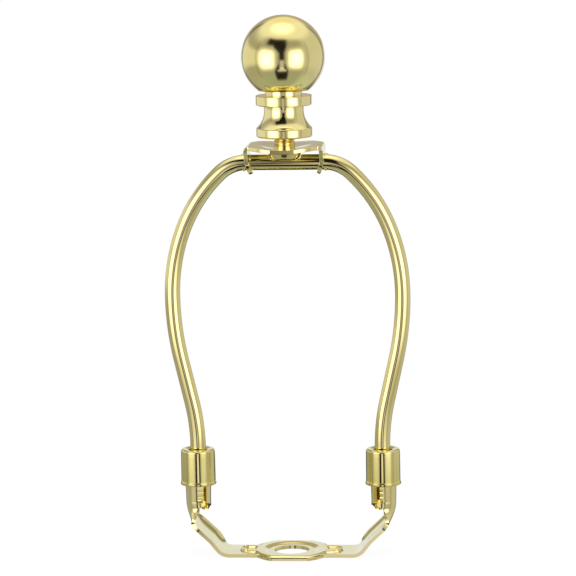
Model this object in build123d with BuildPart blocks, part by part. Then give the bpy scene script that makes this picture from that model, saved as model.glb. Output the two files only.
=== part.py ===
from build123d import *
import math
import os

# Detachable lamp harp: saddle, two lock sleeves, bent wire bow, top plate, stud and ball finial.
# Origin: centre of the lamp-pipe hole at the saddle's underside. +Z up, X along the harp's width,
# -Y towards the open side of the sockets. Millimetres.

# Saddle sheet
sheet = 1.1
emboss = 0.5
emboss_slope = 0.2
pipe_hole_radius = 5.35
pad_radius = 11.75
pad_half_depth = 10.3
pad_border = 0.5
rim_inner_radius = 7.9
arm_width = 11.6
rib_width = 7.8
rib_reach = 15.6
rib_pocket_start = 10.7
rib_pocket_end = 14.6
rib_pocket_width = 5.2
rib_pocket_round = 1.2
rise_angle = 51.5
rise_bend_radius = 4.0
steep_run = 2.7
ease_angle = 8.0
ease_radius = 6.0
heel_radius = 12.4
heel_stations = 15

# Sockets rolled at the ends of the saddle
wire_seat_height = 16.8
socket_shift = 0.2
socket_clearance = 0.32
socket_flare = 0.25
heel_top = 16.9
heel_neck_half_width = 4.7
heel_neck_share = 0.6
heel_level_share = 0.65
heel_front_half_width = 6.9
flap_angle = 222.0
flap_bottom = 13.9
flap_relief_height = 2.4
flap_relief_inset = 0.7
flap_step_start = 0.58
flap_step_end = 0.69
flap_step_share = 0.4
curl_start = 0.08
curl_end = 0.72
front_lip_angle = 95.0
socket_top = 27.5

# Wire bow
wire_radius = 2.38
flat_half_run = 11.84
shoulder_radius = 11.75
shoulder_angle = 43.3
upper_side_radius = 46.3
upper_side_angle = 25.7
side_radius = 56.7
lower_side_radius = 90.5
flare_angle = 12.8
flare_run = 13.6
neck_radius = 60.4
leg_run = 17.2
foot_flat_depth = 0.6
foot_flat_length = 5.6
foot_notch = 0.5
wire_coin_depth = 1.3

# Lock sleeves
sleeve_height = 11.1
sleeve_bottom = 21.9
sleeve_wall = 1.02
sleeve_clearance = 0.15
sleeve_lip_height = 0.9
sleeve_lip_flare = 0.16
sleeve_shoulder_radius = 1.2
sleeve_cap = 0.95
sleeve_wire_clearance = 0.42

# Top plate
plate_sheet = 1.2
plate_gap = 1.9
plate_radius = 12.5
plate_half_depth = 12.0
plate_bend_radius = 0.3
ear_inset = 0.44
ear_wire_clearance = 0.12
ear_rim = 1.4

# Stud
stud_radius = 3.175
stud_rise = 11.2
stud_hole_clearance = 0.05
stud_head_top_radius = 5.4
stud_head_bottom_radius = 4.6
stud_point = 0.6

# Finial
finial_gap = 2.3
finial_tap_clearance = 0.12
flange_radius = 8.55
lower_flange_height = 2.6
waist_radius = 6.15
waist_height = 6.45
throat_radius = 6.35
upper_flange_bottom = 9.6
upper_flange_top = 12.55
collar_radius = 5.6
collar_top = 14.15
edge_round = 0.4
ball_radius = 12.7
ball_centre_height = 24.05
spigot_radius = 3.0
spigot_length = 5.0
spigot_clearance = 0.05

os.makedirs("parts", exist_ok=True)

# Outline of half the bow, from the middle of its top run down the right side to the foot
side_angle = 90 - shoulder_angle - upper_side_angle
with BuildLine(Plane.XZ) as half_bow:
    top_run = Line((0, 0), (flat_half_run, 0))
    shoulder = JernArc(top_run @ 1, (1, 0), shoulder_radius, -shoulder_angle)
    upper_side = JernArc(shoulder @ 1, shoulder % 1, upper_side_radius, -upper_side_angle)
    side = JernArc(upper_side @ 1, upper_side % 1, side_radius, -side_angle)
    lower_side = JernArc(side @ 1, side % 1, lower_side_radius, -flare_angle)
    flare = Line(lower_side @ 1, lower_side @ 1 + (lower_side % 1) * flare_run)
    neck = JernArc(flare @ 1, flare % 1, neck_radius, flare_angle)
    leg = Line(neck @ 1, neck @ 1 + (neck % 1) * leg_run)

# The foot stands at the seat height, which sets the height of the top run
foot = leg @ 1
wire_top_axis = wire_seat_height - foot.Z
wire_top = wire_top_axis + wire_radius
socket_x = foot.X + socket_shift
socket_radius = wire_radius + socket_clearance + sheet
socket_top_radius = socket_radius + socket_flare

# Underside of the rising strip: bend, steep rise, eased rise, and the heel up to the wall
rise_bend_outer = rise_bend_radius + sheet
eased_angle = rise_angle - ease_angle
with BuildLine(Plane.XZ):
    shape_bend = JernArc((0, 0), (1, 0), rise_bend_outer, rise_angle)
    shape_steep = Line(shape_bend @ 1, shape_bend @ 1 + (shape_bend % 1) * steep_run)
    shape_ease = JernArc(shape_steep @ 1, shape_steep % 1, ease_radius, -ease_angle)
    shape_heel = JernArc(shape_ease @ 1, shape_ease % 1, heel_radius, 90 - eased_angle)
eased_run = (heel_top - (shape_heel @ 1).Z) / math.sin(math.radians(eased_angle))
eased_reach = eased_run * math.cos(math.radians(eased_angle))
rise_start = socket_x + socket_radius - (shape_heel @ 1).X - eased_reach
with BuildLine(Plane.XZ) as strip_under:
    under_flat = Line((0, 0), (rise_start, 0))
    under_bend = JernArc(under_flat @ 1, (1, 0), rise_bend_outer, rise_angle)
    under_steep = Line(under_bend @ 1, under_bend @ 1 + (under_bend % 1) * steep_run)
    under_ease = JernArc(under_steep @ 1, under_steep % 1, ease_radius, -ease_angle)
    under_run = Line(under_ease @ 1, under_ease @ 1 + (under_ease % 1) * eased_run)
with BuildLine(Plane.XZ) as strip_over:
    over_flat = Line((0, sheet), (rise_start, sheet))
    over_bend = JernArc(over_flat @ 1, (1, 0), rise_bend_radius, rise_angle)
    over_steep = Line(over_bend @ 1, over_bend @ 1 + (over_bend % 1) * steep_run)
    over_ease = JernArc(over_steep @ 1, over_steep % 1, ease_radius + sheet, -ease_angle)
    over_run = Line(over_ease @ 1, over_ease @ 1 + (over_ease % 1) * eased_run)
with BuildLine(Plane.XZ) as heel_line:
    JernArc(under_run @ 1, under_run % 1, heel_radius, 90 - eased_angle)
heel_path = heel_line.wires()[0]
socket_middle_radius = socket_radius - sheet / 2
flap_half_width = socket_middle_radius * math.radians(flap_angle)


def eased(value, low, high):
    """0 under low, 1 over high, with a smooth step between."""
    share = min(max((value - low) / (high - low), 0), 1)
    return share * share * (3 - 2 * share)


def rolled_section(share):
    """Section of the rising sheet: flat across at share 0, level and curled as the socket at share 1."""
    at = heel_path.position_at(share * heel_path.length, position_mode=PositionMode.LENGTH)
    along = heel_path.tangent_at(share * heel_path.length, position_mode=PositionMode.LENGTH)
    slope = math.atan2(along.Z, along.X)
    level = slope + (math.pi / 2 - slope) * eased(share, 0, heel_level_share)
    wall = sheet / math.cos(level - slope)
    neck = arm_width / 2 + (heel_neck_half_width - arm_width / 2) * eased(share, 0, heel_neck_share)
    front = neck + (heel_front_half_width - neck) * eased(share, heel_neck_share, 1)
    step = eased(share, flap_step_start, flap_step_end)
    growth = flap_step_share * step + (1 - flap_step_share) * eased(share, flap_step_end, 1)
    back = neck + (flap_half_width - neck) * growth
    curl = eased(share, curl_start, curl_end)
    x_dir, z_dir = (math.sin(level), 0, -math.cos(level)), (math.cos(level), 0, math.sin(level))
    with BuildSketch(Plane(at, x_dir=x_dir, z_dir=z_dir)) as section:
        with BuildLine():
            if curl == 0:
                outer = Line((0, -front), (0, back))
                inner = Line((-wall, -front), (-wall, back))
            else:
                radius = socket_radius / curl
                middle = radius - wall / 2
                start = -math.degrees(front / middle)
                turn = math.degrees((front + back) / middle)
                outer = CenterArc((-radius, 0), radius, start, turn)
                inner = CenterArc((-radius, 0), radius - wall, start, turn)
            Line(outer @ 0, inner @ 0)
            Line(outer @ 1, inner @ 1)
        make_face()
    return section.sketch


def socket_slice(height, radius, start, end):
    """Slice of the rolled socket: a ring sector, 0 degrees outward and 90 degrees to the back."""
    with BuildSketch(Plane((socket_x, 0, height))) as section:
        with BuildLine():
            outer = CenterArc((0, 0), radius, start, end - start)
            inner = CenterArc((0, 0), radius - sheet, start, end - start)
            Line(outer @ 0, inner @ 0)
            Line(outer @ 1, inner @ 1)
        make_face()
    return section.sketch


heel_sections = [rolled_section(n / (heel_stations - 1)) for n in range(heel_stations)]
socket_slices = [
    socket_slice(heel_top, socket_radius, -front_lip_angle, flap_angle),
    socket_slice(socket_top, socket_top_radius, -front_lip_angle, flap_angle),
]

# Right arm of the saddle with its socket
with BuildSketch() as pad_plan:
    Circle(pad_radius)
    Rectangle(2 * pad_radius, 2 * pad_half_depth, mode=Mode.INTERSECT)

with BuildSketch() as raised_plan:
    add(pad_plan.sketch)
    offset(amount=-pad_border)

with BuildPart() as arm:
    with BuildSketch(Plane.XZ):
        with BuildLine():
            add(strip_under.line)
            add(strip_over.line)
            Line(under_flat @ 0, over_flat @ 0)
            Line(under_run @ 1, over_run @ 1)
        make_face()
    extrude(amount=arm_width / 2, both=True)
    loft(heel_sections)
    loft(socket_slices)
    with BuildSketch(Plane.XZ):
        with Locations((socket_x - flap_relief_inset, flap_bottom)):
            Rectangle(2 * socket_radius, flap_relief_height, align=(Align.MAX, Align.MAX))
    extrude(amount=2 * socket_radius, both=True, mode=Mode.SUBTRACT)

# Raised rim of the pad and ribs of the arms, each rib with a pocket at the strip's level
rib_pocket_x = (rib_pocket_start + rib_pocket_end) / 2
rib_pocket_length = rib_pocket_end - rib_pocket_start
with BuildPart() as raised:
    with BuildSketch(Plane.XY.offset(emboss)):
        add(raised_plan.sketch)
        SlotOverall(2 * rib_reach, rib_width)
        Circle(rim_inner_radius, mode=Mode.SUBTRACT)
        with Locations((rib_pocket_x, 0), (-rib_pocket_x, 0)):
            RectangleRounded(rib_pocket_length, rib_pocket_width, rib_pocket_round, mode=Mode.SUBTRACT)
    extrude(amount=sheet)
    chamfer(faces().sort_by(Axis.Z)[-1].edges(), emboss_slope)

# Saddle: both arms, the low border, the flat round the hole, and the raised rim and ribs
with BuildPart() as saddle:
    add(arm.part)
    mirror(about=Plane.YZ)
    with BuildSketch():
        add(pad_plan.sketch)
    extrude(amount=sheet)
    with BuildSketch():
        add(raised_plan.sketch)
        with Locations((rib_pocket_x, 0), (-rib_pocket_x, 0)):
            RectangleRounded(rib_pocket_length, rib_pocket_width, rib_pocket_round, mode=Mode.SUBTRACT)
    extrude(amount=emboss, mode=Mode.SUBTRACT)
    with BuildSketch():
        Circle(rim_inner_radius)
    extrude(amount=sheet)
    add(raised.part)
    Hole(pipe_hole_radius)

saddle.part.label = "saddle"
export_step(saddle.part, "parts/saddle.step")

# Stud: tapered head seated on the wire, shank through the plate and up into the finial
plate_under = wire_top + plate_gap
plate_over = plate_under + plate_sheet
head_bottom = wire_top - wire_coin_depth
stud_top = plate_over + stud_rise
with BuildPart() as stud:
    with BuildSketch(Plane.XZ):
        with BuildLine():
            Polyline(
                (0, head_bottom),
                (stud_head_bottom_radius, head_bottom),
                (stud_head_top_radius, plate_under),
                (stud_radius, plate_under),
                (stud_radius, stud_top - stud_point),
                (stud_radius - stud_point, stud_top),
                (0, stud_top),
                close=True,
            )
        make_face()
    revolve(axis=Axis.Z)

stud.part.label = "stud"
export_step(stud.part, "parts/stud.step")

# Right half of the wire, with a pressed flat and cross notches on its foot
bow_path = half_bow.wires()[0].moved(Location((0, 0, wire_top_axis)))
foot_flat = Plane((foot.X, 0, wire_seat_height), x_dir=(0, 0, 1), z_dir=(-1, -1, 0))
foot_middle = foot_flat_length / 2
with BuildPart() as half_wire:
    with BuildSketch(Plane(bow_path @ 0, z_dir=bow_path % 0)):
        Circle(wire_radius)
    sweep(path=bow_path)
    with BuildSketch(foot_flat.offset(wire_radius - foot_flat_depth)):
        with Locations((foot_middle, 0)):
            Rectangle(foot_flat_length, 2 * wire_radius)
    extrude(amount=wire_radius, mode=Mode.SUBTRACT)
    with BuildSketch(foot_flat.offset(wire_radius - foot_flat_depth - foot_notch / 2)):
        with Locations((foot_middle, 0)):
            with GridLocations(3 * foot_notch, 0, 3, 1):
                Rectangle(foot_notch, 2 * wire_radius)
    extrude(amount=wire_radius, mode=Mode.SUBTRACT)

# Whole wire, with the seat of the stud's head pressed into its top
head_taper = (stud_head_top_radius - stud_head_bottom_radius) / (plate_under - head_bottom)
seat_radius = stud_head_bottom_radius + head_taper * wire_coin_depth + ear_wire_clearance
with BuildPart() as harp_wire:
    add(half_wire.part)
    mirror(about=Plane.YZ)
    with BuildSketch(Plane.XY.offset(head_bottom)):
        Circle(seat_radius)
    extrude(amount=wire_radius, mode=Mode.SUBTRACT)

harp_wire.part.label = "harp_wire"
export_step(harp_wire.part, "parts/harp_wire.step")

# Top plate: a folded strip cut to a disc in plan and to two round ears from the side
ear_outer = flat_half_run - ear_inset + plate_sheet / 2
ear_round = wire_radius + ear_rim
plate_bend_outer = plate_bend_radius + plate_sheet
fold_x = ear_outer - plate_bend_outer
fold_half_depth = math.sqrt(plate_radius**2 - fold_x**2)
fold_bottom = plate_over - plate_bend_outer
with BuildPart() as top_plate:
    with BuildSketch(Plane.XZ):
        with BuildLine():
            Polyline(
                (-ear_outer, wire_top_axis - ear_round),
                (-ear_outer, plate_over),
                (ear_outer, plate_over),
                (ear_outer, wire_top_axis - ear_round),
                (ear_outer - plate_sheet, wire_top_axis - ear_round),
                (ear_outer - plate_sheet, plate_under),
                (plate_sheet - ear_outer, plate_under),
                (plate_sheet - ear_outer, wire_top_axis - ear_round),
                close=True,
            )
        make_face()
    extrude(amount=plate_half_depth, both=True)
    along_y = edges().filter_by(Axis.Y)
    fillet(along_y.group_by(Axis.Z)[-1], plate_bend_outer)
    with BuildSketch():
        Circle(plate_radius)
        Rectangle(2 * ear_outer, 2 * plate_half_depth, mode=Mode.INTERSECT)
        Rectangle(2 * ear_outer, 2 * fold_half_depth)
    extrude(amount=plate_over, mode=Mode.INTERSECT)
    with BuildSketch(Plane.YZ):
        with BuildLine():
            ear_edge = Polyline(
                (-ear_round, wire_top_axis),
                (-fold_half_depth, fold_bottom),
                (-plate_half_depth, fold_bottom),
                (-plate_half_depth, plate_over),
                (plate_half_depth, plate_over),
                (plate_half_depth, fold_bottom),
                (fold_half_depth, fold_bottom),
                (ear_round, wire_top_axis),
            )
            ThreePointArc(ear_edge @ 1, (0, wire_top_axis - ear_round), ear_edge @ 0)
        make_face()
        with Locations((0, wire_top_axis)):
            Circle(wire_radius + ear_wire_clearance, mode=Mode.SUBTRACT)
    extrude(amount=ear_outer, both=True, mode=Mode.INTERSECT)
    with BuildSketch(Plane.XY.offset(plate_under)):
        Circle(stud_radius + stud_hole_clearance)
    extrude(amount=plate_sheet, mode=Mode.SUBTRACT)

top_plate.part.label = "top_plate"
export_step(top_plate.part, "parts/top_plate.step")

# Lock sleeves, each over its socket and centred between socket and wire
sleeve_x = foot.X + socket_shift / 2
sleeve_bore = socket_top_radius + socket_shift / 2 + sleeve_clearance
sleeve_radius = sleeve_bore + sleeve_wall
sleeve_lip_radius = sleeve_radius + sleeve_lip_flare
sleeve_hole = wire_radius + sleeve_wire_clearance
for sleeve_name, sleeve_centre in (("ferrule_left", -sleeve_x), ("ferrule_right", sleeve_x)):
    with BuildPart() as sleeve:
        with BuildSketch(Plane((sleeve_centre, 0, sleeve_bottom), x_dir=(1, 0, 0), z_dir=(0, -1, 0))):
            with BuildLine():
                wall = Polyline(
                    (sleeve_hole, sleeve_height),
                    (sleeve_hole, sleeve_height - sleeve_cap),
                    (sleeve_bore, sleeve_height - sleeve_cap),
                    (sleeve_bore, 0),
                    (sleeve_lip_radius, 0),
                    (sleeve_lip_radius, sleeve_lip_height / 2),
                    (sleeve_radius, sleeve_lip_height),
                    (sleeve_radius, sleeve_height - sleeve_shoulder_radius),
                )
                shoulder_round = JernArc(wall @ 1, (0, 1), sleeve_shoulder_radius, 90)
                Line(shoulder_round @ 1, wall @ 0)
            make_face()
        revolve(axis=Axis((sleeve_centre, 0, 0), (0, 0, 1)))
    sleeve.part.label = sleeve_name
    export_step(sleeve.part, f"parts/{sleeve_name}.step")

# Finial base: two flanges with a waist between them, a collar and a spigot, tapped from below
finial_bottom = plate_over + finial_gap
tap_radius = stud_radius + finial_tap_clearance
tap_depth = stud_rise - finial_gap
with BuildPart() as finial_base:
    with BuildSketch(Plane((0, 0, finial_bottom), x_dir=(1, 0, 0), z_dir=(0, -1, 0))):
        with BuildLine():
            lower_flange = Polyline(
                (0, tap_depth),
                (tap_radius, tap_depth),
                (tap_radius, 0),
                (flange_radius - edge_round, 0),
                (flange_radius, edge_round),
                (flange_radius, lower_flange_height),
            )
            waist = (waist_radius, waist_height)
            TangentArc(waist, lower_flange @ 1, tangent=(0, -1))
            throat = TangentArc(waist, (throat_radius, upper_flange_bottom), tangent=(0, 1))
            Polyline(
                throat @ 1,
                (flange_radius - edge_round, upper_flange_bottom),
                (flange_radius, upper_flange_bottom + edge_round),
                (flange_radius, upper_flange_top - edge_round),
                (flange_radius - edge_round, upper_flange_top),
                (collar_radius, upper_flange_top),
                (collar_radius, collar_top),
                (spigot_radius, collar_top),
                (spigot_radius, collar_top + spigot_length),
                (0, collar_top + spigot_length),
                (0, tap_depth),
            )
        make_face()
    revolve(axis=Axis.Z)

finial_base.part.label = "finial_base"
export_step(finial_base.part, "parts/finial_base.step")

# Finial ball, flat where it sits on the collar and bored for the spigot
ball_centre = finial_bottom + ball_centre_height
with BuildPart() as finial_ball:
    with Locations((0, 0, ball_centre)):
        Sphere(ball_radius)
    split(bisect_by=Plane.XY.offset(finial_bottom + collar_top), keep=Keep.TOP)
    with BuildSketch(Plane.XY.offset(finial_bottom + collar_top)):
        Circle(spigot_radius + spigot_clearance)
    extrude(amount=spigot_length + spigot_clearance, mode=Mode.SUBTRACT)

finial_ball.part.label = "finial_ball"
export_step(finial_ball.part, "parts/finial_ball.step")

for label, value in (("leg x", foot.X), ("wire top axis", wire_top_axis), ("plate top", plate_over)):
    print(label, round(value, 2))
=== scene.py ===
import math
import bpy
import bmesh
import numpy as np
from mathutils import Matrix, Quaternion


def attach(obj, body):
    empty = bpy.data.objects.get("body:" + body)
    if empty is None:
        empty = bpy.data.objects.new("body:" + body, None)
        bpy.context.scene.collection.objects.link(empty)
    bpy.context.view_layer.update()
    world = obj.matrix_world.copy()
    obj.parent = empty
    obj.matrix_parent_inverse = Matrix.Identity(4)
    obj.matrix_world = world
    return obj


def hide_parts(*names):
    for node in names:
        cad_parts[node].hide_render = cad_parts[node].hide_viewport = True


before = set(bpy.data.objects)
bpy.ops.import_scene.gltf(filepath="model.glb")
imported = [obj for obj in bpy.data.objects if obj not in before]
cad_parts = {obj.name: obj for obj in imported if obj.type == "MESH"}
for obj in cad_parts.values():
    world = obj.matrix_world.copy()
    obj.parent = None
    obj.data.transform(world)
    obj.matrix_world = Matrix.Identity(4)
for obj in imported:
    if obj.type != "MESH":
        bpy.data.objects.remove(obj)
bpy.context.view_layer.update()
print("frame loaded, nodes:", len(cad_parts))

# A millimetre in the scene's metres, and the distance in millimetres of a sleeve's axis from the middle
millimetre = 0.001
sleeveCentre = 28.47


# Shapes: everything below is in millimetres, and makePiece turns it into metres

def ease(value, low, high):
    # 0 under low, 1 over high, 3t^2 - 2t^3 between
    share = np.clip((value - low) / (high - low), 0, 1)
    return share * share * (3 - 2 * share)


def gridFaces(rows, columns, around, start):
    # four-sided faces of a grid of rows x columns points, closed around its columns on request
    cells = columns if around else columns - 1
    row, column = np.meshgrid(np.arange(rows - 1), np.arange(cells), indexing="ij")
    following = (column + 1) % columns
    corners = [row * columns + column, row * columns + following,
               (row + 1) * columns + following, (row + 1) * columns + column]
    return np.stack(corners, -1).reshape(-1, 4) + start


def joinGrids(grids):
    # one list of points and faces from several grids (points, around, flipped)
    points, faces, start = [], [], 0
    for grid, around, flipped in grids:
        rows, columns = grid.shape[:2]
        made = gridFaces(rows, columns, around, start)
        points.append(grid.reshape(-1, 3))
        faces.append(made[:, ::-1] if flipped else made)
        start += rows * columns
    return np.concatenate(points), np.concatenate(faces)


def addObject(name, points, faces):
    # a new mesh object in the scene, from points in millimetres
    mesh = bpy.data.meshes.new(name)
    mesh.from_pydata((points * millimetre).tolist(), [], faces.tolist())
    made = bpy.data.objects.new(name, mesh)
    bpy.context.scene.collection.objects.link(made)
    return made


def makePiece(name, points, faces, material, body, node,
              sheet=0, edge=0, facing=None, marks=None):
    # welds the grids, points the faces outwards, gives a sheet its thickness and rounded edges
    piece = addObject(name, points, faces)
    mesh = piece.data
    if marks is not None:
        drawn = mesh.attributes.new("drawn", "FLOAT_VECTOR", "POINT")
        drawn.data.foreach_set("vector", marks.ravel())
    shape = bmesh.new()
    shape.from_mesh(mesh)
    bmesh.ops.remove_doubles(shape, verts=shape.verts, dist=2e-6)
    bmesh.ops.recalc_face_normals(shape, faces=shape.faces)
    if facing is not None:
        leaning = sum(face.normal.z * face.calc_area() for face in shape.faces)
        if leaning * facing < 0:
            bmesh.ops.reverse_faces(shape, faces=shape.faces)
    shape.to_mesh(mesh)
    shape.free()
    mesh.polygons.foreach_set("use_smooth", np.ones(len(mesh.polygons), bool))
    mesh.materials.append(material)
    if sheet:
        wall = piece.modifiers.new("thickness", "SOLIDIFY")
        wall.thickness = sheet * millimetre
        wall.offset = -1
        wall.use_even_offset = True
    if edge:
        rounding = piece.modifiers.new("edges", "BEVEL")
        rounding.width = edge * millimetre
        rounding.segments = 3
        rounding.limit_method = "ANGLE"
        rounding.angle_limit = math.radians(70)
        rounding.harden_normals = True
    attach(piece, body)
    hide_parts(node)
    print(name, "faces:", len(mesh.polygons))
    return piece


def roundedOutline(corners, steps=8):
    # closed outline through corners (x, y, radius), each rounded by a tangent arc with a support
    # point at either end, which gives steps + 3 points for each corner
    corners = np.array(corners, float)
    at, radius = corners[:, :2], corners[:, 2]
    before, after = np.roll(at, 1, 0) - at, np.roll(at, -1, 0) - at
    reachBefore, reachAfter = np.linalg.norm(before, axis=1), np.linalg.norm(after, axis=1)
    before, after = before / reachBefore[:, None], after / reachAfter[:, None]
    half = np.arccos(np.clip((before * after).sum(1), -1, 1)) / 2
    tangent = np.minimum(radius / np.tan(half), 0.48 * np.minimum(reachBefore, reachAfter))
    radius = tangent * np.tan(half)
    middle = before + after
    middle /= np.maximum(np.linalg.norm(middle, axis=1), 1e-9)[:, None]
    centre = at + middle * (radius / np.sin(half))[:, None]
    support = np.minimum(tangent + 0.05, 0.49 * np.minimum(reachBefore, reachAfter))
    share = np.linspace(0, 1, steps + 1)[None, :, None]
    first = at + before * tangent[:, None] - centre
    last = at + after * tangent[:, None] - centre
    turn = np.maximum(math.pi - 2 * half, 1e-6)[:, None, None]
    weightFirst = np.sin((1 - share) * turn) / np.sin(turn)
    weightLast = np.sin(share * turn) / np.sin(turn)
    arc = centre[:, None] + weightFirst * first[:, None] + weightLast * last[:, None]
    start = (at + before * support[:, None])[:, None]
    end = (at + after * support[:, None])[:, None]
    return np.concatenate([start, arc, end], 1).reshape(-1, 2)


def arcThrough(start, end, heading, steps):
    # points of the circle that leaves start along heading and reaches end, without its first point
    start, end, heading = (np.array(pair, float) for pair in (start, end, heading))
    side = np.array([-heading[1], heading[0]])
    chord = end - start
    radius = chord @ chord / (2 * side @ chord)
    turn = 2 * math.atan2(side @ chord, heading @ chord)
    angle = np.linspace(0, turn, steps + 1)[1:, None]
    return start + radius * (side * (1 - np.cos(angle)) + heading * np.sin(angle))


def turned(outline, centre, columns, closed=True):
    # outline (radius, height) carried round the vertical line through centre
    if closed:
        outline = np.concatenate([outline, outline[:1]])
    angle = np.arange(columns) * 2 * math.pi / columns
    radius, height = outline[:, :1], outline[:, 1:]
    around = [centre + radius * np.cos(angle), radius * np.sin(angle), height + 0 * angle]
    return np.stack(around, -1)


def borderedShares(count, border):
    # shares from 0 to 1 whose first and last cell are border wide, which leaves room for a rounded edge
    return np.concatenate([[0], np.linspace(border, 1 - border, count - 2), [1]])


def betweenOutlines(inner, outer, rows, border):
    # rows of points from one closed outline to another with as many samples
    share = borderedShares(rows, border)[:, None, None]
    return inner[None] * (1 - share) + outer[None] * share


def onCircle(radius, outline):
    # the outline's points moved along their own directions onto a circle
    angle = np.arctan2(outline[:, 1], outline[:, 0])
    return radius * np.stack([np.cos(angle), np.sin(angle)], -1)


def cutDisc(radius, halfDepth, straightX, sideSamples, cornerSteps, frontSteps):
    # outline of a disc cut straight at front and back, and at straightX on either side
    right = np.stack([np.full(len(sideSamples), straightX), sideSamples], -1)
    first = math.atan2(sideSamples[-1], straightX)
    corner = math.asin(halfDepth / radius)
    curve = np.concatenate([
        np.linspace(first, corner, cornerSteps)[1:],
        np.linspace(corner, math.pi - corner, frontSteps)[1:],
        np.linspace(math.pi - corner, math.pi - first, cornerSteps)[1:-1]])
    reach = np.minimum(radius, halfDepth / np.sin(curve))
    back = np.stack([reach * np.cos(curve), reach * np.sin(curve)], -1)
    return np.concatenate([right, back, -right, -back])


# Materials

class Link:
    # a socket on its way through a node tree, with the operators of arithmetic
    def __init__(self, tree, socket=None):
        self.tree, self.socket = tree, socket

    def node(self, kind, settings=None, values=None, output=0):
        made = self.tree.nodes.new("ShaderNode" + kind)
        for key, setting in (settings or {}).items():
            setattr(made, key, setting)
        for key, value in (values or {}).items():
            if isinstance(value, Link):
                self.tree.links.new(value.socket, made.inputs[key])
            else:
                made.inputs[key].default_value = value
        return Link(self.tree, made.outputs[output])

    def maths(self, operation, *values):
        return self.node("Math", {"operation": operation}, dict(enumerate(values)))

    def __add__(self, other):
        return self.maths("ADD", self, other)

    def __mul__(self, other):
        return self.maths("MULTIPLY", self, other)

    def __sub__(self, other):
        return self.maths("SUBTRACT", self, other)

    def __rsub__(self, other):
        return self.maths("SUBTRACT", other, self)

    __radd__ = __add__
    __rmul__ = __mul__

    def eased(self, low, high):
        smooth = {"interpolation_type": "SMOOTHSTEP"}
        return self.node("MapRange", smooth, {"Value": self, "From Min": low, "From Max": high})

    def band(self, low, high, soft):
        return self.eased(low - soft, low + soft) * (1 - self.eased(high - soft, high + soft))

    def mixed(self, first, second):
        return self.node("Mix", {"data_type": "RGBA"}, {"Factor": self, "A": first, "B": second}, 2)


brass = {
    "bend": {"pale": (0.84, 0.73, 0.34), "deep": (0.78, 0.67, 0.28), "roughness": 0.07, "marks": 0.06},
    "sheet": {"pale": (0.87, 0.76, 0.36), "deep": (0.82, 0.71, 0.30), "roughness": 0.10, "marks": 0.05},
    "sleeve": {"pale": (0.80, 0.70, 0.29), "deep": (0.74, 0.64, 0.23), "roughness": 0.07, "marks": 0.05},
    "turning": {"pale": (0.87, 0.76, 0.36), "deep": (0.82, 0.70, 0.29), "roughness": 0.09, "marks": 0.08},
    "ball": {"pale": (0.88, 0.77, 0.36), "deep": (0.83, 0.72, 0.30), "roughness": 0.13, "marks": 0.02},
    "stud": {"pale": (0.85, 0.71, 0.32), "deep": (0.79, 0.64, 0.26), "roughness": 0.12, "marks": 0.08},
}
grain = {
    "turned": 6000,
    "plain": 900.0,
    "cloud": 60.0,
    "wave": 220.0,
    "cloudEdge": (0.35, 0.65),
    "roughness": (0.8, 0.25, 0.2),
    "depth": 0.00006,
    "fineShare": 0.35,
}


def brassFinish(name, look, pattern, centre=0.0):
    # polished brass: cloudy tint, roughness in fine streaks along the making marks, and a shallow bump
    material = bpy.data.materials.new(name)
    material.use_nodes = True
    tree = material.node_tree
    shader = tree.nodes["Principled BSDF"]
    start = Link(tree)
    place = start.node("TexCoord", output=3)
    if pattern == "drawn":
        marks = start.node("Attribute", {"attribute_name": "drawn"}, output=1)
    elif pattern == "turned":
        height = start.node("SeparateXYZ", values={0: place}, output=2)
        across = start.node("SeparateXYZ", values={0: place}) - centre * millimetre
        depth = start.node("SeparateXYZ", values={0: place}, output=1)
        radius = start.maths("SQRT", across * across + depth * depth)
        radius, height = radius * grain["turned"], height * grain["turned"]
        marks = start.node("CombineXYZ", values={"X": radius, "Y": height})
    else:
        marks = start.node("VectorMath", {"operation": "SCALE"}, {0: place, "Scale": grain["plain"]})
    fine = start.node("TexNoise", values={"Vector": marks, "Scale": 1.0, "Detail": 3.0})
    cloud = start.node("TexNoise", values={"Vector": place, "Scale": grain["cloud"], "Detail": 4.0})
    wave = start.node("TexNoise", values={"Vector": place, "Scale": grain["wave"], "Detail": 1.0})
    tint = cloud.eased(*grain["cloudEdge"])
    colour = tint.mixed((*look["deep"], 1), (*look["pale"], 1))
    tree.links.new(colour.socket, shader.inputs["Base Color"])
    even, fineShare, cloudShare = (look["roughness"] * share for share in grain["roughness"])
    rough = even + fine * fineShare + cloud * cloudShare
    tree.links.new(rough.socket, shader.inputs["Roughness"])
    shader.inputs["Metallic"].default_value = 1.0
    relief = wave + fine * grain["fineShare"]
    bump = start.node("Bump", values={
        "Strength": look["marks"], "Distance": grain["depth"], "Height": relief})
    tree.links.new(bump.socket, shader.inputs["Normal"])
    return material


finish = {
    "bend": brassFinish("bentWire", brass["bend"], "drawn"),
    "sheet": brassFinish("pressedSheet", brass["sheet"], "plain"),
    "sleeveLeft": brassFinish("sleeveBrassLeft", brass["sleeve"], "turned", -sleeveCentre),
    "sleeveRight": brassFinish("sleeveBrassRight", brass["sleeve"], "turned", sleeveCentre),
    "turning": brassFinish("turnedBrass", brass["turning"], "turned"),
    "ball": brassFinish("polishedBall", brass["ball"], "turned"),
    "stud": brassFinish("studBrass", brass["stud"], "turned"),
}
print("materials:", len(finish))

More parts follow.
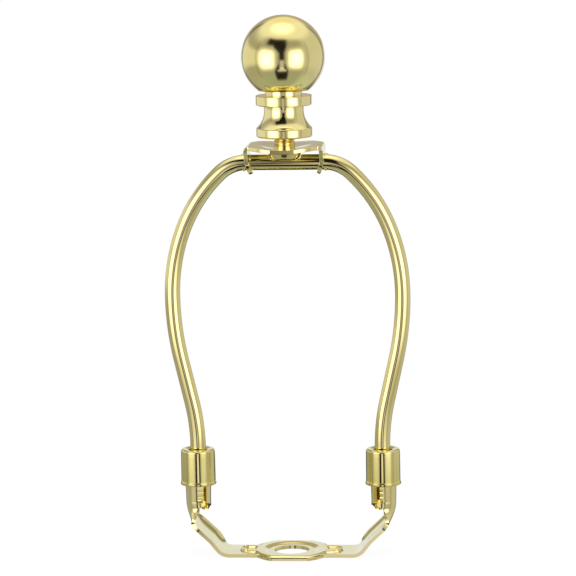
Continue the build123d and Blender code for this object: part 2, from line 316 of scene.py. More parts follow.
# Wire bow
bow = {
    "radius": 2.38,
    "columns": 72,
    "topAxis": 121.3153,
    "runs": [(11.84, 0.0), (11.75, 43.3), (46.3, 25.7), (56.7, 21.0),
             (90.5, 12.8), (13.6, 0.0), (60.4, -12.8), (17.2, 0.0)],
    "topRun": 14.5,
    "topStep": 0.2,
    "sideStep": 0.8,
    "footRun": 6.5,
    "footStep": 0.12,
    "flatDepth": 0.6,
    "flatLength": 5.6,
    "notchGap": 1.5,
    "notchHalf": 0.22,
    "notchDepth": (0.008, 0.12),
    "flatTurn": (20, 30),
    "endRound": 0.35,
    "seatHeight": 122.3953,
    "seatRadius": 5.09,
    "swageAt": 12.5,
    "swageReach": 0.4,
    "swageHalf": 0.35,
    "drawnScale": (0.03, 14),
}


def bowRuns(runs):
    # length and curvature of each run: (length, 0) is straight, (radius, degrees) is an arc
    length = np.array([size if turn == 0 else size * math.radians(abs(turn)) for size, turn in runs])
    bend = np.array([0.0 if turn == 0 else math.copysign(1 / size, turn) for size, turn in runs])
    return length, bend


def bowPath(along, runs):
    # place and heading at each distance along half the bow; an arc turns by bend x distance
    length, bend = bowRuns(runs)
    startAt = np.concatenate([[0], np.cumsum(length)])
    startTurn = np.concatenate([[0], np.cumsum(length * bend)])

    def travelled(turn, bent, distance):
        divisor = np.where(bent == 0, 1, bent)
        arcX = (np.sin(turn + bent * distance) - np.sin(turn)) / divisor
        arcZ = (np.cos(turn + bent * distance) - np.cos(turn)) / divisor
        straightX, straightZ = np.cos(turn) * distance, -np.sin(turn) * distance
        return np.where(bent == 0, straightX, arcX), np.where(bent == 0, straightZ, arcZ)

    stepX, stepZ = travelled(startTurn[:-1], bend, length)
    startX = np.concatenate([[0], np.cumsum(stepX)])
    startZ = np.concatenate([[0], np.cumsum(stepZ)])
    run = np.clip(np.searchsorted(startAt, along, side="right") - 1, 0, len(length) - 1)
    goneX, goneZ = travelled(startTurn[run], bend[run], along - startAt[run])
    heading = startTurn[run] + bend[run] * (along - startAt[run])
    return startX[run] + goneX, startZ[run] + goneZ, heading


def bowStations(look):
    # distances along half the bow: close together at the seat, the swage and the foot
    total = bowRuns(look["runs"])[0].sum()
    footFrom = total - look["footRun"]
    footTo = total - look["endRound"]
    top = np.arange(0, look["topRun"], look["topStep"])
    side = np.arange(look["topRun"], footFrom, look["sideStep"])
    foot = np.arange(footFrom, footTo, look["footStep"])
    return np.concatenate([top, side, foot, [footTo]]), total


def makeBow(look):
    # round wire along the bow, its radius eased at the ends; seat, flats and notches are pressed in
    along, total = bowStations(look)
    endTurn = np.linspace(0, math.pi / 2, 6)
    endAlong = total - look["endRound"] * (1 - np.sin(endTurn))
    endRadius = look["radius"] - look["endRound"] * (1 - np.cos(endTurn))
    half = np.concatenate([along[:-1], endAlong, [total]])
    radius = np.concatenate([np.full(len(along) - 1, look["radius"]), endRadius, [0.0]])
    swage = np.exp(-((half - look["swageAt"]) / look["swageHalf"]) ** 2)
    distance = np.concatenate([-half[:0:-1], half])
    radius = np.concatenate([radius[:0:-1], radius])
    swage = np.concatenate([swage[:0:-1], swage])
    x, z, heading = bowPath(np.abs(distance), look["runs"])
    side = np.where(distance < 0, -1.0, 1.0)
    angle = np.arange(look["columns"]) * 2 * math.pi / look["columns"]
    proud = look["swageReach"] * np.clip(np.cos(2 * angle - 0.6), 0, 1) ** 6
    reach = radius[:, None] + swage[:, None] * proud * (radius[:, None] > 1)
    out = reach * np.cos(angle)
    points = np.stack([
        side[:, None] * (x[:, None] + out * np.sin(heading)[:, None]),
        reach * np.sin(angle),
        look["topAxis"] + z[:, None] + out * np.cos(heading)[:, None]], -1)
    up = points[..., 2] - look["topAxis"] - z[-1]
    fromMiddle = up - look["flatLength"] / 2
    notches = 0
    for notchAt in (-look["notchGap"], 0, look["notchGap"]):
        notches = notches + np.exp(-((fromMiddle - notchAt) / look["notchHalf"]) ** 4)
    flatTurn = np.radians(np.where(side < 0, *look["flatTurn"]))[:, None] + 0 * up
    notchDepth = np.where(side < 0, *look["notchDepth"])[:, None]
    pressed = look["radius"] - look["flatDepth"] - notchDepth * notches
    facing = np.stack([-side[:, None] * np.sin(flatTurn), -np.cos(flatTurn)], -1)
    offset = np.stack([points[..., 0] - side[:, None] * x[-1], points[..., 1]], -1)
    onFlat = 1 - ease(up, look["flatLength"], look["flatLength"] + 0.3)
    over = np.clip((offset * facing).sum(-1) - pressed, 0, None) * onFlat
    points[..., :2] -= over[..., None] * facing
    near = np.hypot(points[..., 0], points[..., 1]) < look["seatRadius"]
    points[..., 2] = np.where(near, np.minimum(points[..., 2], look["seatHeight"]), points[..., 2])
    lengthwise, around = look["drawnScale"]
    marks = np.stack([
        distance[:, None] * lengthwise + 0 * angle,
        around * np.cos(angle) + 0 * up,
        around * np.sin(angle) + 0 * up], -1)
    flat, faces = joinGrids([(points, True, False)])
    return makePiece("bowWire", flat, faces, finish["bend"], "bow", "harp_wire",
                     marks=marks.reshape(-1, 3))


makeBow(bow)

# Finial: base with flanges, waist and collar, and the ball on it
finial = {
    "bottom": 129.0953,
    "columns": 192,
    "flange": 8.55,
    "lowerTop": 2.6,
    "waist": (6.05, 8.1),
    "throat": (6.2, 9.6),
    "upperTop": 12.55,
    "collar": 5.6,
    "collarTop": 14.15,
    "tap": 3.295,
    "tapDepth": 8.9,
    "spigot": 3.0,
    "spigotTop": 19.15,
    "spigotClearance": 0.05,
    "ballRadius": 12.7,
    "ballCentre": 24.05,
}


def makeFinialBase(look):
    # outline from the tap's end out to the lower flange, up the waist's two arcs and back to the
    # spigot's top; the slices drop the outer corners' points where the arcs take over
    flange, lowerTop = look["flange"], look["lowerTop"]
    lower = roundedOutline([
        (0, look["tapDepth"], 0), (look["tap"], look["tapDepth"], 0), (look["tap"], 0, 0.35),
        (flange, 0, 0.55), (flange, lowerTop, 0.22), (flange - 1.2, lowerTop + 0.9, 0)])[9:-20]
    cove = arcThrough(look["waist"], (flange - 0.12, lowerTop + 0.16), (0, -1), 24)[::-1]
    throat = arcThrough(look["waist"], look["throat"], (0, 1), 12)
    upper = roundedOutline([
        look["throat"] + (0.12,), (flange, look["throat"][1], 0.4), (flange, look["upperTop"], 0.22),
        (look["collar"], look["upperTop"], 0.08), (look["collar"], look["collarTop"], 0.2),
        (look["spigot"], look["collarTop"], 0.05), (look["spigot"], look["spigotTop"], 0.3),
        (0, look["spigotTop"], 0)])[10:-9]
    tapEnd, spigotEnd = [(0, look["tapDepth"])], [(0, look["spigotTop"])]
    outline = np.concatenate([tapEnd, lower, cove, [look["waist"]], throat, upper, spigotEnd])
    outline[:, 1] += look["bottom"]
    points, faces = joinGrids([(turned(outline, 0, look["columns"], False), True, False)])
    return makePiece("finialBase", points, faces, finish["turning"], "finial", "finial_base")


def makeBall(look):
    # sphere from its seat on the collar to its top, with the bore for the spigot
    centre = look["bottom"] + look["ballCentre"]
    seat = look["bottom"] + look["collarTop"]
    low = math.asin((seat - centre) / look["ballRadius"])
    rise = np.linspace(low + 0.02, math.pi / 2, 110)
    sphere = np.stack([look["ballRadius"] * np.cos(rise), centre + look["ballRadius"] * np.sin(rise)], -1)
    bore = look["spigot"] + look["spigotClearance"]
    boreTop = look["bottom"] + look["spigotTop"] + look["spigotClearance"]
    inside = np.array([
        (0, boreTop), (bore, boreTop), (bore, seat + 0.1), (bore + 0.1, seat), (sphere[0, 0] - 0.2, seat)])
    outline = np.concatenate([inside, sphere])
    points, faces = joinGrids([(turned(outline, 0, look["columns"], False), True, False)])
    return makePiece("finialBall", points, faces, finish["ball"], "finial", "finial_ball")


makeFinialBase(finial)
makeBall(finial)

# Stud under and through the plate
stud = {
    "radius": 3.175,
    "pitch": 0.94,
    "threadDepth": 0.42,
    "threadFrom": (127.3, 127.8),
    "threadStep": 0.078,
    "grooveSteepness": 2.6,
    "grooveCrest": 0.25,
    "point": 0.5,
    "pointRun": 0.6,
    "top": 137.9953,
    "headBottom": 122.3953,
    "headTop": 125.5953,
    "headLow": 4.6,
    "headHigh": 5.4,
    "headRound": 1.5,
    "columns": 120,
}


def makeStud(look):
    # tapered head by its outline, with the slice to its round part, and a shank whose radius
    # follows a helix of the pitch
    head = roundedOutline([
        (0, look["headBottom"], 0), (look["headLow"], look["headBottom"], look["headRound"]),
        (look["headHigh"], look["headTop"], 0.25), (look["radius"], look["headTop"], 0),
        (0, look["headTop"], 0)])[9:-18]
    head = np.concatenate([[(0, look["headBottom"])], head, [(look["radius"], look["headTop"])]])
    height = np.arange(look["headTop"] + 0.2, look["top"] + 0.01, look["threadStep"])
    angle = np.arange(look["columns"]) * 2 * math.pi / look["columns"]
    turn = (height[:, None] / look["pitch"] - angle / (2 * math.pi)) % 1
    groove = np.clip(np.abs(turn - 0.5) * look["grooveSteepness"] - look["grooveCrest"], 0, 1)
    depth = look["threadDepth"] * ease(height, *look["threadFrom"])[:, None]
    point = look["point"] * ease(height, look["top"] - look["pointRun"], look["top"])[:, None]
    shank = look["radius"] - depth * groove - point
    shankPoints = np.stack([shank * np.cos(angle), shank * np.sin(angle), height[:, None] + 0 * angle], -1)
    headPoints = turned(head, 0, look["columns"], False)
    tip = np.zeros((1, look["columns"], 3))
    tip[..., 2] = height[-1]
    points, faces = joinGrids([(np.concatenate([headPoints, shankPoints, tip]), True, False)])
    return makePiece("studBody", points, faces, finish["stud"], "bow", "stud")


makeStud(stud)

# Lock sleeves
sleeve = {
    "bottom": 21.9,
    "top": 33.0,
    "bore": 4.3,
    "wallLow": 5.40,
    "wallHigh": 5.24,
    "lip": 5.48,
    "hole": 2.8,
    "cap": 0.95,
    "shoulder": 1.2,
    "columns": 160,
}


def makeSleeve(name, side, look):
    # outline: bore, beaded lip, slightly tapered wall, rounded shoulder and the hole for the wire
    low, top = look["bottom"], look["top"]
    outline = roundedOutline([
        (look["hole"], top - 0.35, 0.25), (look["hole"], top - look["cap"], 0.1),
        (look["bore"], top - look["cap"], 0.1), (look["bore"], low, 0.12),
        (look["lip"], low, 0.3), (look["lip"], low + 0.85, 0.3),
        (look["wallLow"] - 0.14, low + 1.15, 0.2), (look["wallHigh"], top - 1.9, 1.5),
        (look["wallHigh"] - 0.02, top, look["shoulder"]), (look["hole"] + 1.0, top, 0.5)], 10)
    material = finish["sleeveLeft"] if side < 0 else finish["sleeveRight"]
    points, faces = joinGrids([(turned(outline, side * sleeveCentre, look["columns"]), True, False)])
    node = "ferrule_left" if side < 0 else "ferrule_right"
    body = "left_sleeve" if side < 0 else "right_sleeve"
    return makePiece(name, points, faces, material, body, node)


makeSleeve("sleeveLeft", -1, sleeve)
makeSleeve("sleeveRight", 1, sleeve)

# Top plate with its two ears
plate = {
    "thickness": 1.2,
    "top": 126.7953,
    "radius": 12.5,
    "halfDepth": 12.0,
    "foldAt": 10.5,
    "foldRadius": 1.5,
    "studHole": 3.225,
    "sideSteps": 61,
    "dish": 0.25,
    "dishFrom": (4.0, 9.0),
    "sag": 0.6,
    "sagFrom": (1.0, 9.5),
    "earRadius": 3.78,
    "earHole": 2.5,
    "axis": 121.3153,
    "bow": 1.0,
    "bowAbove": 1.5,
    "bowRun": 4.5,
    "bowMost": 1.2,
    "rows": 40,
    "edge": 0.25,
}


def plateTop(look, sideSamples):
    # top of the plate: dished round the stud and sagging between the folds
    outer = cutDisc(look["radius"], look["halfDepth"], look["foldAt"], sideSamples, 16, 41)
    flat = betweenOutlines(onCircle(look["studHole"], outer), outer, look["rows"], 0.04)
    dish = look["dish"] * (1 - ease(np.hypot(flat[..., 0], flat[..., 1]), *look["dishFrom"]))
    sag = look["sag"] * (1 - ease(np.abs(flat[..., 0]), *look["sagFrom"]))
    return np.concatenate([flat, (look["top"] - dish - sag)[..., None]], -1)


def plateEar(look, sideSamples):
    # right ear in its own plane, from the wire's hole out to the fold, two straight sides and a round end
    foldLow = look["top"] - look["foldRadius"] - look["axis"]
    foldEdge = np.stack([sideSamples[::-1], np.full(len(sideSamples), foldLow)], -1)
    foldEnd, roundEnd = foldEdge[-1], np.array([-look["earRadius"], 0])
    straight = np.linspace(1, 0, 24)[1:, None] * (foldEnd - roundEnd) + roundEnd
    lowerTurn = np.linspace(math.pi, 2 * math.pi, 49)[1:-1]
    lower = look["earRadius"] * np.stack([np.cos(lowerTurn), np.sin(lowerTurn)], -1)
    mirrored = straight[::-1] * np.array([-1, 1])
    outer = np.concatenate([foldEdge, straight, lower, mirrored[:-1]])
    ear = betweenOutlines(onCircle(look["earHole"], outer), outer, 5, 0.25)
    outerX = look["foldAt"] + look["foldRadius"]
    return np.stack([0 * ear[..., 0] + outerX, ear[..., 0], look["axis"] + ear[..., 1]], -1)


def makePlate(look):
    # cut disc, folded down at either side into an ear whose lower end bows inwards
    foldHalf = math.sqrt(look["radius"] ** 2 - look["foldAt"] ** 2)
    sideSamples = np.linspace(-foldHalf, foldHalf, look["sideSteps"])
    turn = np.linspace(0, math.pi / 2, 9)[:, None]
    fold = np.stack([
        look["foldAt"] + look["foldRadius"] * np.sin(turn) + 0 * sideSamples, 0 * turn + sideSamples,
        look["top"] - look["foldRadius"] * (1 - np.cos(turn)) + 0 * sideSamples], -1)
    grids = [(plateTop(look, sideSamples), True, False)]
    for grid, around in ((fold, False), (plateEar(look, sideSamples), True)):
        bowFrom = look["axis"] + look["bowAbove"]
        drop = np.clip((bowFrom - grid[..., 2]) / look["bowRun"], 0, look["bowMost"])
        folded = ease(grid[..., 0], look["foldAt"], look["foldAt"] + look["foldRadius"])
        grid[..., 0] -= look["bow"] * drop ** 2 * folded
        grids.append((grid, around, False))
        grids.append((grid * np.array([-1, 1, 1]), around, True))
    points, faces = joinGrids(grids)
    return makePiece("topPlate", points, faces, finish["sheet"], "bow", "top_plate",
                     sheet=look["thickness"], edge=look["edge"], facing=1)


makePlate(plate)

# Saddle: pad with rim and ribs, two arms, and the rolled sockets
saddle = {
    "thickness": 1.1,
    "hole": 5.35,
    "padRadius": 11.75,
    "padHalfDepth": 10.3,
    "rim": 6.9,
    "rimSlope": 2.0,
    "border": 0.35,
    "raise": 0.5,
    "slope": 0.45,
    "armHalf": 6.1,
    "ribHalf": 3.9,
    "ribReach": 15.6,
    "pocket": (10.7, 14.6, 2.6, 1.2),
    "bendRadius": 5.1,
    "riseAngle": 51.5,
    "steepRun": 2.7,
    "easeRadius": 6.0,
    "easeAngle": 8.0,
    "heelRadius": 12.4,
    "heelTop": 16.9,
    "socketX": 28.57,
    "socketRadius": 3.8,
    "socketFlare": 0.25,
    "socketTop": 27.5,
    "backLift": 1.2,
    "backLiftFrom": (1.5, 6.5),
    "backLiftTo": (0.05, 0.6),
    "neckHalf": 4.7,
    "neckShare": 0.72,
    "frontShare": 0.93,
    "levelShare": 0.65,
    "frontHalf": 6.9,
    "frontLip": 90.0,
    "ledge": 16.45,
    "curlFrom": 0.26,
    "curlTo": 0.8,
    "flapAngle": 222.0,
    "flapBottom": 13.9,
    "flapShare": 0.4,
    "columns": 121,
    "columnBorder": 0.025,
    "edge": 0.22,
}


def raisedHeight(x, y, look):
    # height of the pressed rim and ribs: the pad less its border, two ribs with a pocket each, and
    # a dish round the hole
    distance = np.hypot(x, y)
    inPad = np.minimum(look["padRadius"] - distance, look["padHalfDepth"] - np.abs(y)) - look["border"]
    straight = np.clip(np.abs(x) - (look["ribReach"] - look["ribHalf"]), 0, None)
    inRib = look["ribHalf"] - np.hypot(straight, y)
    start, end, half, corner = look["pocket"]
    fromMiddle = np.abs(np.abs(x) - (start + end) / 2) - (end - start) / 2 + corner
    fromLine = np.abs(y) - half + corner
    pastCorner = np.hypot(np.clip(fromMiddle, 0, None), np.clip(fromLine, 0, None))
    outside = pastCorner + np.minimum(np.maximum(fromMiddle, fromLine), 0) - corner
    high = ease(np.maximum(inPad, inRib), 0, look["slope"]) * ease(outside, -0.05, look["slope"] - 0.05)
    return look["raise"] * high * ease(distance, look["rim"], look["rim"] + look["rimSlope"])


def risePath(look):
    # outer line of the rising strip in the XZ plane: lower bend, steep rise, ease, a straight run
    # whose length brings the end to the heel's top, and the heel up to the socket
    bend, back = math.radians(look["riseAngle"]), math.radians(look["easeAngle"])
    runs = [(look["bendRadius"], bend), (look["steepRun"], 0), (look["easeRadius"], -back), (0, 0),
            (look["heelRadius"], math.pi / 2 - bend + back)]
    spanX = spanZ = slope = 0.0
    for size, turn in runs:
        after = slope + turn
        bent = math.copysign(1, turn)
        spanX += size * bent * (math.sin(after) - math.sin(slope)) if turn else size * math.cos(slope)
        spanZ += size * bent * (math.cos(slope) - math.cos(after)) if turn else size * math.sin(slope)
        slope = after
    rise = (look["heelTop"] - spanZ) / math.sin(bend - back)
    runs[3] = (rise, 0)
    startX = look["socketX"] + look["socketRadius"] - spanX - rise * math.cos(bend - back)
    x, z, heading = [np.array([startX])], [np.zeros(1)], [np.zeros(1)]
    for size, turn in runs:
        start = heading[-1][-1]
        if turn == 0:
            gone = np.linspace(0, size, max(int(size / 0.25), 2))[1:]
            x.append(x[-1][-1] + gone * math.cos(start))
            z.append(z[-1][-1] + gone * math.sin(start))
            heading.append(np.full(len(gone), start))
        else:
            bent = math.copysign(1, turn)
            angle = start + np.linspace(0, turn, max(int(size * abs(turn) / 0.11), 8))[1:]
            x.append(x[-1][-1] + bent * size * (np.sin(angle) - math.sin(start)))
            z.append(z[-1][-1] + bent * size * (math.cos(start) - np.cos(angle)))
            heading.append(angle)
    heelStart = sum(len(part) for part in x[:-1]) - 1
    return np.concatenate(x), np.concatenate(z), np.concatenate(heading), heelStart


def armGrid(look, startX, sideSamples):
    # flat arm, rising strip that narrows and curls through the heel, and the socket; columns run
    # across the strip
    x, z, heading, heelStart = risePath(look)
    step = np.hypot(np.diff(x), np.diff(z))
    gone = np.concatenate([[0], np.cumsum(step)])
    share = np.clip((gone - gone[heelStart]) / (gone[-1] - gone[heelStart]), 0, 1)
    middle = look["socketRadius"] - look["thickness"] / 2
    across = borderedShares(look["columns"], look["columnBorder"]) * 2 - 1
    level = heading + (math.pi / 2 - heading) * ease(share, 0, look["levelShare"]) * (share > 0)
    neck = look["armHalf"] + (look["neckHalf"] - look["armHalf"]) * ease(share, 0, look["neckShare"])
    front = neck + (look["frontHalf"] - neck) * ease(share, look["neckShare"], look["frontShare"])
    lip = math.radians(look["frontLip"]) * middle
    front += (lip - front) * ease(z, look["ledge"], look["ledge"] + 0.25)
    flapHalf = middle * math.radians(look["flapAngle"])
    growth = look["flapShare"] * ease(z, look["flapBottom"] - 0.1, look["flapBottom"] + 0.1)
    growth += (1 - look["flapShare"]) * ease(z, look["flapBottom"], look["heelTop"])
    back = neck + (flapHalf - neck) * growth
    curl = np.maximum(ease(share, look["curlFrom"], look["curlTo"]), 1e-5)
    radius = look["socketRadius"] / curl
    width = np.where(across < 0, across * front[:, None], across * back[:, None])
    angle = width / (radius[:, None] - look["thickness"] / 2)
    lift = look["backLift"] * ease(gone, *look["backLiftFrom"]) * (1 - ease(share, *look["backLiftTo"]))
    inward = radius[:, None] * (1 - np.cos(angle)) + lift[:, None] * np.clip(across, 0, 1) ** 2
    rising = np.stack([
        x[:, None] - inward * np.sin(level)[:, None], radius[:, None] * np.sin(angle),
        z[:, None] + inward * np.cos(level)[:, None]], -1)
    socketRise = look["socketTop"] - look["heelTop"]
    height = np.concatenate([[0.08, 0.2, 0.32, 0.44, 0.6], np.linspace(0.85, socketRise, 44)])
    socket = look["socketRadius"] + look["socketFlare"] * height / socketRise
    turn = np.where(across < 0, across * lip, across * flapHalf) / middle + 0 * height[:, None]
    upright = np.stack([
        look["socketX"] + socket[:, None] * np.cos(turn), socket[:, None] * np.sin(turn),
        look["heelTop"] + height[:, None] + 0 * turn], -1)
    flatX = np.linspace(startX, x[0], 96)[:-1]
    flatX, flatY = np.meshgrid(flatX, sideSamples, indexing="ij")
    flat = np.stack([flatX, flatY, raisedHeight(flatX, flatY, look)], -1)
    return np.concatenate([flat, rising, upright])


def makeSaddle(look):
    # ring from the pipe's hole to the pad's outline, with an arm grid joined at either side
    joinX = math.sqrt(look["padRadius"] ** 2 - look["armHalf"] ** 2)
    sideSamples = (borderedShares(look["columns"], look["columnBorder"]) * 2 - 1) * look["armHalf"]
    outer = cutDisc(look["padRadius"], look["padHalfDepth"], joinX, sideSamples, 41, 61)
    flat = betweenOutlines(onCircle(look["hole"], outer), outer, 46, 0.05)
    pad = np.concatenate([flat, raisedHeight(flat[..., 0], flat[..., 1], look)[..., None]], -1)
    arm = armGrid(look, joinX, sideSamples)
    mirrored = arm * np.array([-1, 1, 1])
    points, faces = joinGrids([(pad, True, True), (arm, False, True), (mirrored, False, False)])
    return makePiece("saddleSheet", points, faces, finish["sheet"], "base", "saddle",
                     sheet=look["thickness"], edge=look["edge"], facing=-1)


makeSaddle(saddle)

# Studio: white ground, and a tent round the object whose panels and gaps the brass reflects.
# The tent's places are azimuths from the front, positive to the right, and elevations, in degrees,
# and a band is (from, to, softness). Its azimuth bands hold for both sides, the dark bar's apart.
studio = {
    "floorHalf": 3000,
    "turn": 1.5,
    "tentRadius": 500,
    "tentHeight": 153,
    "gap": 0.42,
    "core": {"light": 2.2, "azimuth": 42, "lean": 0.06, "elevation": -2, "spread": (484, 506)},
    "ceiling": {"light": 1.05, "from": (48, 64), "lean": (0.12, 5), "brighter": 0.95,
                "brighterFrom": (60, 84)},
    "walls": {"left": 0.45, "right": 0.72, "from": (50, 84), "across": (-0.1, 0.1)},
    "leftWall": {"stripe": 0.42, "stripeBand": (-15, 16, 5), "top": 0.4, "topFrom": (26, 50)},
    "rightWall": {"foot": 0.12, "footFrom": (-34, -14)},
    "seam": {"loss": 0.35, "azimuth": (74, 78, 3), "elevation": (-40, 34, 8)},
    "corner": {"loss": 0.6, "azimuth": (140, 152, 4)},
    "behind": {"from": (150, 156), "low": 0.06, "white": 0.9, "tan": 0.5,
               "whiteFrom": (-27, -23), "tanFrom": (0, 2.6)},
    "strip": {"half": 7, "below": (-38, -6), "above": (12, 36), "widening": 14, "aside": (2, 6),
              "edge": 2.5, "elevation": (-60, 42, 6)},
    "bar": {"azimuth": (-50, 17, 8), "elevation": (34, 52, 4)},
    "nadir": (-89, -77),
    "dark": 0.012,
    "patch": {"light": 0.62, "half": 6, "edge": 1.5, "elevation": (-34, -4, 3), "brighter": 0.7,
              "brighterBand": (-28, -24, 1.5), "footFrom": (-30, -28), "footHalf": 7, "footLight": 0.3},
    "tints": {"floor": (1.0, 1.12, 1.04, 1), "floorTo": (-52, -32), "white": (1.0, 1.0, 1.0, 1),
              "behindLow": (0.95, 1.02, 1.2, 1), "behindHigh": (1.0, 0.91, 0.76, 1),
              "patch": (1.0, 0.96, 1.15, 1)},
}
toDegrees = 57.2958


def frontLight(azimuth, elevation, wide, x, look):
    # bright cores left and right of the front, side walls, and a thin darker seam in each wall
    core, walls, left, right, seam = (look[key] for key in ("core", "walls", "leftWall", "rightWall", "seam"))
    fromCore = elevation - core["elevation"]
    fromCore = fromCore * fromCore * (1 / core["spread"][1])
    fromAxis = wide + azimuth * core["lean"] - core["azimuth"]
    fromAxis = fromAxis * fromAxis * (1 / core["spread"][0])
    glow = elevation.maths("EXPONENT", (fromCore * fromCore + fromAxis * fromAxis) * -1)
    stripe = elevation.band(*left["stripeBand"]) * left["stripe"]
    leftLight = walls["left"] + stripe + elevation.eased(*left["topFrom"]) * left["top"]
    rightLight = walls["right"] - (1 - elevation.eased(*right["footFrom"])) * right["foot"]
    onRight = x.eased(*walls["across"])
    wallLight = leftLight * (1 - onRight) + rightLight * onRight
    side = wide.eased(*walls["from"])
    base = (look["gap"] + glow * core["light"]) * (1 - side) + wallLight * side
    return base * (1 - wide.band(*seam["azimuth"]) * elevation.band(*seam["elevation"]) * seam["loss"])


def darkShare(azimuth, elevation, look):
    # dark strip in front, wider low down and high up, a bar over it and the spot straight below
    strip, bar = look["strip"], look["bar"]
    lower = 1 - elevation.eased(*strip["below"])
    upper = elevation.eased(*strip["above"])
    aside = azimuth + lower * strip["aside"][0] + upper * strip["aside"][1]
    half = strip["half"] + lower * strip["widening"] + upper * strip["widening"]
    outside = (aside.maths("ABSOLUTE", aside) - half).eased(-strip["edge"], strip["edge"])
    front = (1 - outside) * elevation.band(*strip["elevation"])
    above = azimuth.band(*bar["azimuth"]) * elevation.band(*bar["elevation"])
    below = 1 - elevation.eased(*look["nadir"])
    return front, front.maths("MAXIMUM", front.maths("MAXIMUM", front, above), below)


def patchLight(elevation, wide, look):
    # pale patch low in the dark strip, wider at its foot
    patch = look["patch"]
    foot = 1 - elevation.eased(*patch["footFrom"])
    half = patch["half"] + foot * patch["footHalf"]
    brighter = elevation.band(*patch["brighterBand"]) * patch["brighter"] + foot * patch["footLight"]
    light = (brighter + 1) * patch["light"]
    inside = (1 - (wide - half).eased(-patch["edge"], patch["edge"])) * elevation.band(*patch["elevation"])
    return inside, inside * light


def tentLight(start, look):
    # colour and brightness by direction from the tent's middle
    way = start.node("VectorMath", {"operation": "NORMALIZE"}, {0: start.node("TexCoord", output=3)})
    x, y, z = (start.node("SeparateXYZ", values={0: way}, output=axis) for axis in range(3))
    azimuth = start.maths("ARCTAN2", x, y * -1) * toDegrees
    elevation = start.maths("ARCSINE", z) * toDegrees
    wide = start.maths("ABSOLUTE", azimuth)
    ceiling, back, tints = look["ceiling"], look["behind"], look["tints"]
    overHorizon = elevation.eased(*back["tanFrom"])
    backLight = back["low"] + elevation.eased(*back["whiteFrom"]) * (back["white"] - back["low"])
    backLight = backLight - overHorizon * (back["white"] - back["tan"])
    behind = wide.eased(*back["from"])
    base = frontLight(azimuth, elevation, wide, x, look) * (1 - behind) + backLight * behind
    base = base * (1 - wide.band(*look["corner"]["azimuth"]) * look["corner"]["loss"])
    overhead = (elevation + wide * ceiling["lean"][0] + x * ceiling["lean"][1]).eased(*ceiling["from"])
    overheadLight = ceiling["light"] + elevation.eased(*ceiling["brighterFrom"]) * ceiling["brighter"]
    base = base * (1 - overhead) + overheadLight * overhead
    strip, darkness = darkShare(azimuth, elevation, look)
    patch, patchTone = patchLight(elevation, wide, look)
    tone = start.maths("MAXIMUM", base * (1 - darkness) + darkness * look["dark"], patchTone)
    front = elevation.eased(*tints["floorTo"]).mixed(tints["floor"], tints["white"])
    rear = overHorizon.mixed(tints["behindLow"], tints["behindHigh"])
    tint = (patch * strip).mixed(behind.mixed(front, rear), tints["patch"])
    return start.node("VectorMath", {"operation": "SCALE"}, {0: tint, "Scale": tone})


def stageMaterial(thing, name):
    # an empty node tree on a piece of the stage, and the call that links its surface
    material = bpy.data.materials.new(name)
    material.use_nodes = True
    tree = material.node_tree
    tree.nodes.clear()
    end = tree.nodes.new("ShaderNodeOutputMaterial")
    thing.data.materials.append(material)
    return Link(tree), lambda surface: tree.links.new(surface.socket, end.inputs["Surface"])


def makeTent(look):
    # sphere round the object that the camera looks through and that the brass reflects
    rise = np.linspace(-math.pi / 2, math.pi / 2, 33)
    outline = look["tentRadius"] * np.stack([np.cos(rise), np.sin(rise)], -1)
    points, faces = joinGrids([(turned(outline, 0, 64, False), True, True)])
    tent = addObject("lightTent", points, faces)
    tent.location = (0, 0, look["tentHeight"] * millimetre)
    tent.rotation_euler = (0, 0, math.radians(look["turn"]))
    start, finishWith = stageMaterial(tent, "tentPanels")
    finishWith(start.node("Emission", values={"Color": tentLight(start, look), "Strength": 1.0}))
    tent.visible_camera = False
    tent.visible_shadow = False
    return tent


def makeWorld():
    # plain white behind everything
    world = bpy.data.worlds.new("whiteSurround")
    bpy.context.scene.world = world
    world.use_nodes = True
    world.node_tree.nodes["Background"].inputs["Color"].default_value = (1, 1, 1, 1)
    return world


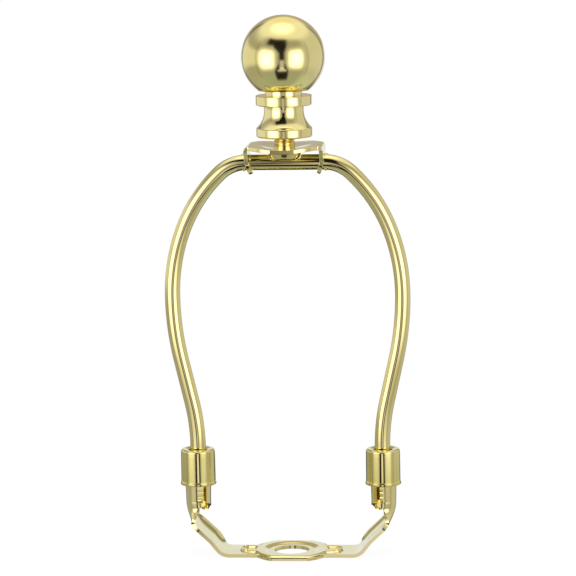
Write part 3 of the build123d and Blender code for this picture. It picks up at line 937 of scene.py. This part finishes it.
def makeFloor(look):
    # level ground that the camera sees white but for a faint shadow
    half = look["floorHalf"]
    corners = np.array([(-half, -half, -0.1), (half, -half, -0.1), (half, half, -0.1), (-half, half, -0.1)])
    ground = addObject("ground", corners, np.array([(0, 1, 2, 3)]))
    start, finishWith = stageMaterial(ground, "whiteGround")
    paper = start.node("BsdfDiffuse", values={"Color": (0.8, 0.8, 0.8, 1)})
    white = start.node("Emission", values={"Color": (1, 1, 1, 1), "Strength": 1.03})
    seen = start.node("LightPath", output=0)
    finishWith(start.node("MixShader", values={0: seen * 0.9, 1: paper, 2: white}))
    ground.visible_glossy = False
    return ground


def makeLamp(name, place, size, watts, aim):
    # soft square lamp turned to face aim
    data = bpy.data.lights.new(name, "AREA")
    data.size = size
    data.energy = watts
    lamp = bpy.data.objects.new(name, data)
    bpy.context.scene.collection.objects.link(lamp)
    away = np.array(place) - np.array(aim)
    level = math.hypot(away[0], away[1])
    lamp.location = place
    lamp.rotation_euler = (math.atan2(level, away[2]), 0, math.atan2(away[0], -away[1]))
    lamp.visible_glossy = False
    return lamp


makeWorld()
makeTent(studio)
makeFloor(studio)
makeLamp("softLeft", (-0.55, -0.6, 0.65), 0.5, 3.0, (0, 0, 0.06))
makeLamp("softRight", (0.6, -0.45, 0.6), 0.5, 2.0, (0, 0, 0.06))
print("studio set")

# Camera at the photograph's place, in metres and degrees
view = {
    "lens": 195.6,
    "azimuth": 4.8,
    "across": 0.00025,
    "distance": 0.940,
    "height": 0.234,
    "pitch": 9.14,
    "roll": -1.05,
}


def makeCamera(look):
    # stands in front at azimuth, looks at the object's axis and down by pitch, and is turned about
    # its own axis by roll
    data = bpy.data.cameras.new("viewCamera")
    data.lens = look["lens"]
    data.sensor_width = 36.0
    data.clip_end = 20.0
    camera = bpy.data.objects.new("viewCamera", data)
    bpy.context.scene.collection.objects.link(camera)
    turn = math.radians(look["azimuth"])
    sideways, away = look["across"], look["distance"]
    camera.location = (away * math.sin(turn) + sideways * math.cos(turn),
                       sideways * math.sin(turn) - away * math.cos(turn), look["height"])
    camera.rotation_mode = "QUATERNION"
    aimed = Quaternion((0, 0, 1), turn) @ Quaternion((1, 0, 0), math.radians(90 - look["pitch"]))
    camera.rotation_quaternion = aimed @ Quaternion((0, 0, 1), math.radians(look["roll"]))
    bpy.context.scene.camera = camera
    return camera


makeCamera(view)
bpy.context.scene.view_settings.view_transform = "Standard"
print("camera set")
